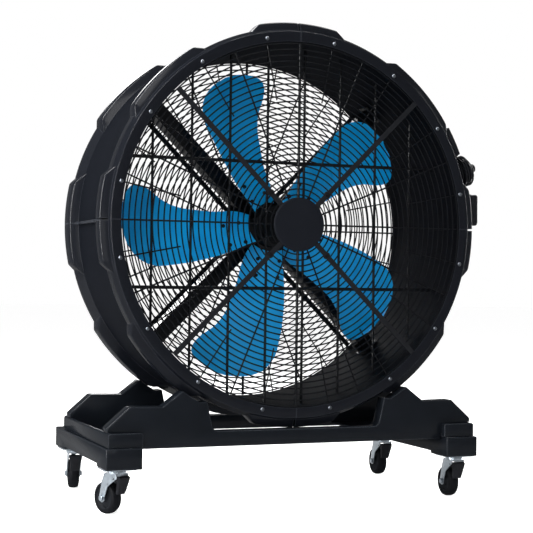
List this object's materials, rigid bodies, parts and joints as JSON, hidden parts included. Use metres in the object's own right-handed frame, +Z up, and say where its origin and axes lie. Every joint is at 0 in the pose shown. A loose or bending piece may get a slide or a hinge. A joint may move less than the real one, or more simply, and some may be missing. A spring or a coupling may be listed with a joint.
{
  "type": "drum fan",
  "caption": "Large round drum fan with blue blades between wire grilles, standing on a black cradle base with braked swivel casters",
  "frame": {"origin": "on the floor below the middle of the whole fan, its mains lead left out", "axes": "+Z up, the front grille faces -Y, +X to the right as seen from the front"},
  "size_m": [1.2565, 0.6347, 1.43],
  "materials": {
    "drum_plastic": "rotary-moulded black polyethylene, satin",
    "guard_paint": "black powder coat on steel wire and bar",
    "motor_paint": "black enamel on cast aluminium",
    "shaft_steel": "ground steel",
    "blade_plastic": "glossy bright blue moulded plastic",
    "base_plastic": "rotary-moulded black polyethylene, satin",
    "box_plastic": "black moulded housing",
    "cord_pvc": "black PVC mains lead",
    "zinc_plate": "bright zinc plated sheet steel",
    "tyre_rubber": "black rubber tread on a grey hub",
    "pedal_plastic": "black moulded brake pedal"
  },
  "bodies": {
    "frame": {"drum_shell_upper_right": "drum_plastic", "drum_shell_upper_left": "drum_plastic", "drum_shell_lower_left": "drum_plastic", "drum_shell_lower_right": "drum_plastic", "front_grille": "guard_paint", "rear_grille": "guard_paint", "front_centre_disc": "guard_paint", "rear_centre_disc": "guard_paint", "inner_guard_grid": "guard_paint", "motor_arm_upper_right": "guard_paint", "motor_arm_upper_left": "guard_paint", "motor_arm_lower_left": "guard_paint", "motor_arm_lower_right": "guard_paint", "motor_body": "motor_paint", "motor_rear_cap": "motor_paint", "cradle_wall_front": "base_plastic", "cradle_wall_rear": "base_plastic", "end_beam_left": "base_plastic", "end_beam_right": "base_plastic", "base_tray_left": "base_plastic", "base_tray_right": "base_plastic", "cord_post": "box_plastic", "control_box_base": "box_plastic", "control_box_lid": "box_plastic", "terminal_cover": "box_plastic", "strain_relief": "cord_pvc", "cord_lead": "cord_pvc", "cord_coil": "cord_pvc", "cord_tail": "cord_pvc", "plug": "cord_pvc", "caster_plate_front_left": "zinc_plate", "caster_plate_front_right": "zinc_plate", "caster_plate_rear_left": "zinc_plate", "caster_plate_rear_right": "zinc_plate"},
    "propeller": {"motor_shaft": "shaft_steel", "blade_hub": "motor_paint", "hub_clamp_plate": "motor_paint", "blade_1": "blade_plastic", "blade_2": "blade_plastic", "blade_3": "blade_plastic", "blade_4": "blade_plastic", "blade_5": "blade_plastic"},
    "knob": {"speed_knob": "box_plastic"},
    "caster_front_left": {"caster_fork_front_left": "zinc_plate", "caster_axle_bolt_front_left": "zinc_plate"},
    "wheel_front_left": {"caster_wheel_front_left": "tyre_rubber"},
    "pedal_front_left": {"brake_pedal_front_left": "pedal_plastic"},
    "caster_front_right": {"caster_fork_front_right": "zinc_plate", "caster_axle_bolt_front_right": "zinc_plate"},
    "wheel_front_right": {"caster_wheel_front_right": "tyre_rubber"},
    "pedal_front_right": {"brake_pedal_front_right": "pedal_plastic"},
    "caster_rear_left": {"caster_fork_rear_left": "zinc_plate", "caster_axle_bolt_rear_left": "zinc_plate"},
    "wheel_rear_left": {"caster_wheel_rear_left": "tyre_rubber"},
    "pedal_rear_left": {"brake_pedal_rear_left": "pedal_plastic"},
    "caster_rear_right": {"caster_fork_rear_right": "zinc_plate", "caster_axle_bolt_rear_right": "zinc_plate"},
    "wheel_rear_right": {"caster_wheel_rear_right": "tyre_rubber"},
    "pedal_rear_right": {"brake_pedal_rear_right": "pedal_plastic"}
  },
  "joints": [
    {"name": "propeller_spin", "type": "hinge", "parent": "frame", "child": "propeller", "pos_m": [-0.0275, -0.0465, 0.83], "axis": [0, 1, 0], "continuous": true},
    {"name": "speed_knob_turn", "type": "hinge", "parent": "frame", "child": "knob", "pos_m": [0.5785, -0.1015, 0.8965], "axis": [0, 1, 0], "range_deg": [0, 135]},
    {"name": "caster_swivel_front_left", "type": "hinge", "parent": "frame", "child": "caster_front_left", "pos_m": [-0.5675, -0.2585, 0.12], "axis": [0, 0, 1], "continuous": true},
    {"name": "wheel_spin_front_left", "type": "hinge", "parent": "caster_front_left", "child": "wheel_front_left", "pos_m": [-0.58296, -0.22379, 0.04512], "axis": [0.9135, 0.4067, 0], "continuous": true},
    {"name": "brake_pedal_press_front_left", "type": "hinge", "parent": "caster_front_left", "child": "pedal_front_left", "pos_m": [-0.56181, -0.27129, 0.104], "axis": [0.9135, 0.4067, 0], "range_deg": [0, 8]},
    {"name": "caster_swivel_front_right", "type": "hinge", "parent": "frame", "child": "caster_front_right", "pos_m": [0.5125, -0.2585, 0.12], "axis": [0, 0, 1], "continuous": true},
    {"name": "wheel_spin_front_right", "type": "hinge", "parent": "caster_front_right", "child": "wheel_front_right", "pos_m": [0.51349, -0.22051, 0.04512], "axis": [0.9997, -0.0262, 0], "continuous": true},
    {"name": "brake_pedal_press_front_right", "type": "hinge", "parent": "caster_front_right", "child": "pedal_front_right", "pos_m": [0.51213, -0.2725, 0.104], "axis": [0.9997, -0.0262, 0], "range_deg": [0, 8]},
    {"name": "caster_swivel_rear_left", "type": "hinge", "parent": "frame", "child": "caster_rear_left", "pos_m": [-0.5675, 0.2335, 0.12], "axis": [0, 0, 1], "continuous": true},
    {"name": "wheel_spin_rear_left", "type": "hinge", "parent": "caster_rear_left", "child": "wheel_rear_left", "pos_m": [-0.56221, 0.27113, 0.04512], "axis": [0.9903, -0.1392, 0], "continuous": true},
    {"name": "brake_pedal_press_rear_left", "type": "hinge", "parent": "caster_rear_left", "child": "pedal_rear_left", "pos_m": [-0.56945, 0.21964, 0.104], "axis": [0.9903, -0.1392, 0], "range_deg": [0, 8]},
    {"name": "caster_swivel_rear_right", "type": "hinge", "parent": "frame", "child": "caster_rear_right", "pos_m": [0.5125, 0.2335, 0.12], "axis": [0, 0, 1], "continuous": true},
    {"name": "wheel_spin_rear_right", "type": "hinge", "parent": "caster_rear_right", "child": "wheel_rear_right", "pos_m": [0.51383, 0.27148, 0.04512], "axis": [0.9994, -0.0349, 0], "continuous": true},
    {"name": "brake_pedal_press_rear_right", "type": "hinge", "parent": "caster_rear_right", "child": "pedal_rear_right", "pos_m": [0.51201, 0.21951, 0.104], "axis": [0.9994, -0.0349, 0], "range_deg": [0, 8]}
  ]
}
